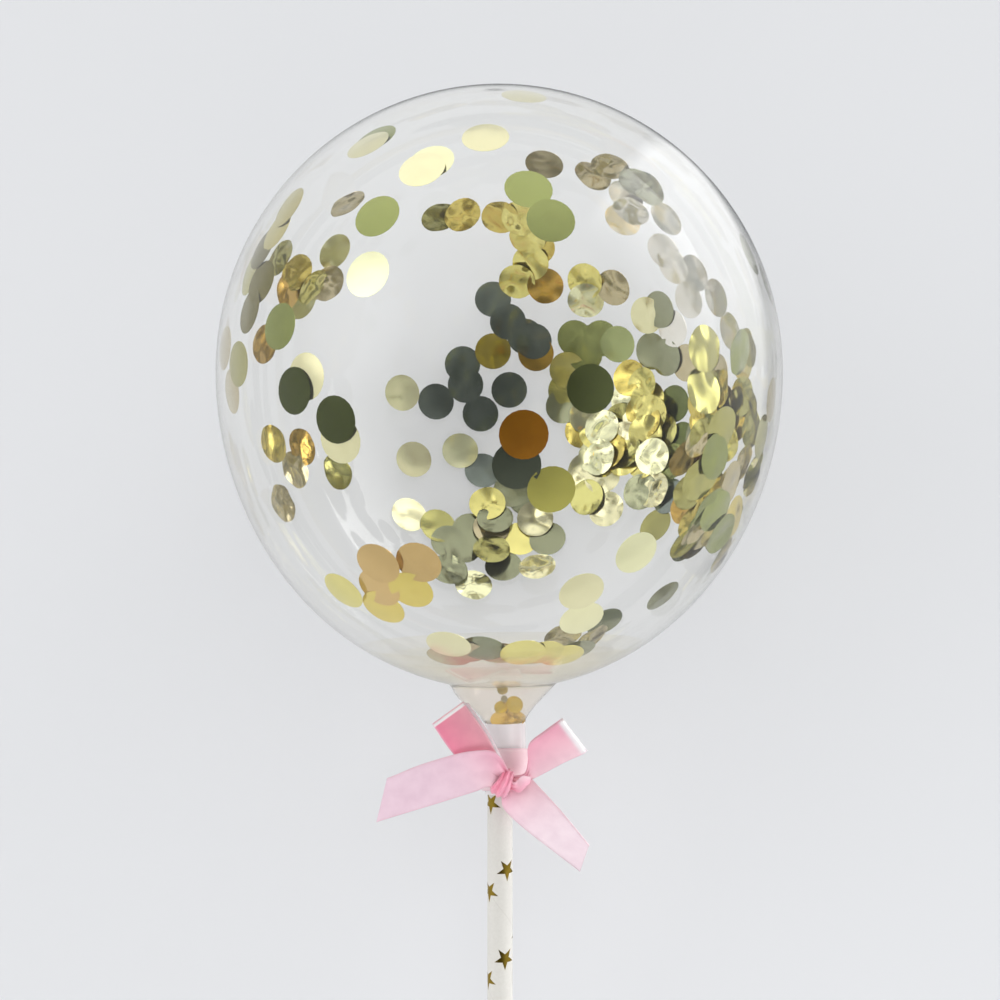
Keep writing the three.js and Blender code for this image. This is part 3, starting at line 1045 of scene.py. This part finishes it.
RIGHT_TAIL = [
    (2.0, 1.4, -1.0, -1.8, 1.2, 0.8),
    (5.4, 1.3, -1.0, -3.4, 2.0, 1.4),
    (8.2, -1.2, -0.2, -6.4, 2.5, 0.8),
    (12.6, -5.9, 4.4, -11.0, 3.1, -0.4),
    (17.2, -11.4, 12.4, -17.4, 3.7, -1.6),
    (19.3, -14.0, 17.5, -21.4, 3.9, -2.2),
]
FRILL = [
    (0.4, 1.2, 0.2, -1.0, 2.4, 2.4),
    (1.8, 0.4, 1.6, -1.4, 3.4, 2.8),
    (2.8, 0.9, 3.2, -2.0, 2.8, 3.2),
    (3.9, 1.9, 4.4, -0.9, 3.2, 3.0),
    (5.9, 1.5, 5.6, 0.1, 2.2, 2.2),
]


def satin_bow():
    ribbon = Ribbon()
    ribbon.stretch(band_stations(), closed=True)
    # Each stretch takes lighter or deeper pinks of the one satin as painted sheen and shade; the left loop's back
    # layer brightens to a painted highlight along one edge
    left, left_back = (SATIN_DUSTY, SATIN_ROSE), (SATIN_SHINE, SATIN_LIGHT)
    ribbon.stretch(loop_stations(LEFT_LOOP, 0.4, (0.55, 0.2), 1, left, left_back))
    right, right_back = (SATIN_PINK, SATIN_LIGHT), (SATIN_PINK, SATIN_LIGHT)
    ribbon.stretch(loop_stations(RIGHT_LOOP, 1.9, (0.1, 0.0), 0.94, right, right_back))
    ribbon.stretch(tail_stations(LEFT_TAIL, 1.1, ((SATIN_PINK, SATIN_MAUVE), (SATIN_LIGHT, SATIN_MAUVE))))
    ribbon.stretch(tail_stations(RIGHT_TAIL, 2.7, ((SATIN_DUSTY, SATIN_PALE), (SATIN_PINK, SATIN_PALE))))
    ribbon.stretch(tail_stations(FRILL, 0.9, ((SATIN_PINK, SATIN_LIGHT), (SATIN_ROSE, SATIN_PINK))))
    ribbon.stretch(knot_stations(), closed=True)
    bow = add_mesh("satin_bow", ribbon.verts, ribbon.faces, [satin_material()], uvs=ribbon.uvs, tints=ribbon.tints)
    cloth = bow.modifiers.new("cloth", "SOLIDIFY")
    cloth.thickness = RIBBON_THICKNESS * MM
    cloth.offset = 0
    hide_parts("ribbon_bow")
    return bow


# Floor, light and camera


def floor():
    shader = Shader("pale_floor")
    shader.set(
        Base_Color=shader.mix(shader.noise(3, 1), linear(166, 168, 171), linear(172, 173, 176)),
        Roughness=0.8,
        Emission_Color=(0.98, 0.985, 1, 1),
        Emission_Strength=0.39,
    )
    side = 3.0
    mesh = bpy.data.meshes.new("floor")
    corners = [(-side, -side, 0), (side, -side, 0), (side, side, 0), (-side, side, 0)]
    mesh.from_pydata(corners, [], [(0, 1, 2, 3)])
    mesh.materials.append(shader.material)
    plane = bpy.data.objects.new("floor", mesh)
    bpy.context.scene.collection.objects.link(plane)
    # Reflections look past the floor to the pale room, as they do for a balloon that is held up
    plane.visible_glossy = False


def softbox(name, right, up, front, width, height, watts):
    """A soft light placed from the balloon's middle and turned to it. Neither reflections nor the film show it."""
    data = bpy.data.lights.new(name, "AREA")
    data.shape = "RECTANGLE"
    data.size, data.size_y = width * MM, height * MM
    data.energy = watts
    lamp = bpy.data.objects.new(name, data)
    bpy.context.scene.collection.objects.link(lamp)
    lamp.visible_glossy = lamp.visible_transmission = False
    middle = STICK_FRAME @ MIDDLE
    lamp.location = STICK_FRAME @ (MIDDLE + Vector((right, up, front)))
    lamp.rotation_euler = (middle - lamp.location).to_track_quat("-Z", "Y").to_euler()


def sky():
    """Pale all round, dim towards the camera, with a tall window at upper right, a glow at left and a pale ceiling."""
    world = bpy.data.worlds.new("room")
    bpy.context.scene.world = world
    # The room is smooth enough to do without being sampled as a light, which saves a third of the render's time
    world.cycles.sampling_method = "NONE"
    shader = Shader(world)
    direction = shader.node("ShaderNodeTexCoord").outputs["Generated"]

    def towards(axis):
        dot = shader.node("ShaderNodeVectorMath", operation="DOT_PRODUCT")
        shader.plug(direction, dot.inputs[0])
        dot.inputs[1].default_value = axis
        return dot.outputs["Value"]

    right, along, front = towards(RIGHT), towards(ALONG), towards(FRONT)
    ramp = shader.node("ShaderNodeValToRGB")
    shader.plug(shader.remap(front, -1, 1), ramp.inputs["Fac"])
    levels = ((-1.0, 0.66), (-0.2, 0.74), (0.3, 0.76), (0.55, 0.66), (0.8, 0.36), (0.93, 0.17), (1.0, 0.12))
    stops = ramp.color_ramp.elements
    while len(stops) < len(levels):
        stops.new(0.5)
    for stop, (facing, level) in zip(stops, levels):
        stop.position = (facing + 1) / 2
        stop.color = (level * 0.985, level * 0.995, level, 1)
    # The window spans the directions between two upright edges, and its light fades out upward. Below it, a darker
    # corner of the room draws a grey line just inside the balloon's rim, deeper at the right than at the top.
    bearing = shader.math("ARCTAN2", along, right)
    lower = shader.math("SUBTRACT", front, shader.remap(bearing, 0.9, 0.2, 0, 0.24))
    window = shader.math("MULTIPLY", shader.remap(bearing, 1.05, 0.99), shader.remap(bearing, -0.2, 0.4))
    window = shader.math("MULTIPLY", window, shader.remap(front, 0.5, -0.1))
    window = shader.math("MULTIPLY", window, shader.remap(lower, -0.94, -0.85))
    window = shader.math("MULTIPLY", window, shader.remap(front, -0.85, -0.15, 0.7, 4.4))
    corner = shader.math("MULTIPLY", shader.remap(lower, -1.1, -1.0), shader.remap(lower, -0.85, -0.92))
    corner = shader.math("MULTIPLY", corner, shader.remap(towards(RIGHT * 0.7 + ALONG * 0.7), 0.02, 0.2))
    glow = shader.remap(towards((RIGHT * -0.82 + ALONG * 0.28 + FRONT * 0.5).normalized()), 0.9, 0.985)
    ceiling = shader.remap(along, 0.45, 0.85, 0, 0.45)
    bright = shader.math("ADD", window, shader.math("ADD", ceiling, shader.math("MULTIPLY", glow, 1.1)))
    bright = shader.math("SUBTRACT", bright, shader.math("MULTIPLY", corner, 0.5))
    total = shader.mix(1.0, ramp.outputs["Color"], bright, "ADD")
    shader.plug(total, shader.tree.nodes["Background"].inputs["Color"])


def camera():
    data = bpy.data.cameras.new("camera")
    data.lens = LENS
    data.sensor_width = 36
    data.clip_start = 0.01
    eye = bpy.data.objects.new("camera", data)
    bpy.context.scene.collection.objects.link(eye)
    eye.matrix_world = Matrix.Translation(STICK_FRAME @ Vector((0, CAMERA_Y, CAMERA_DISTANCE))) @ AXES
    bpy.context.scene.camera = eye


bpy.context.scene.view_settings.view_transform = "Standard"
camera()
sky()
floor()
softbox("left_fill", -620, -60, 260, 400, 400, 0.55)
softbox("right_fill", 560, -160, 260, 400, 400, 0.5)
softbox("low_fill", 0, -480, 500, 600, 300, 1.0)
softbox("high_fill", 60, 180, 660, 400, 300, 0.8)

balloon_film()
paper_stick()
gold_confetti()
satin_bow()
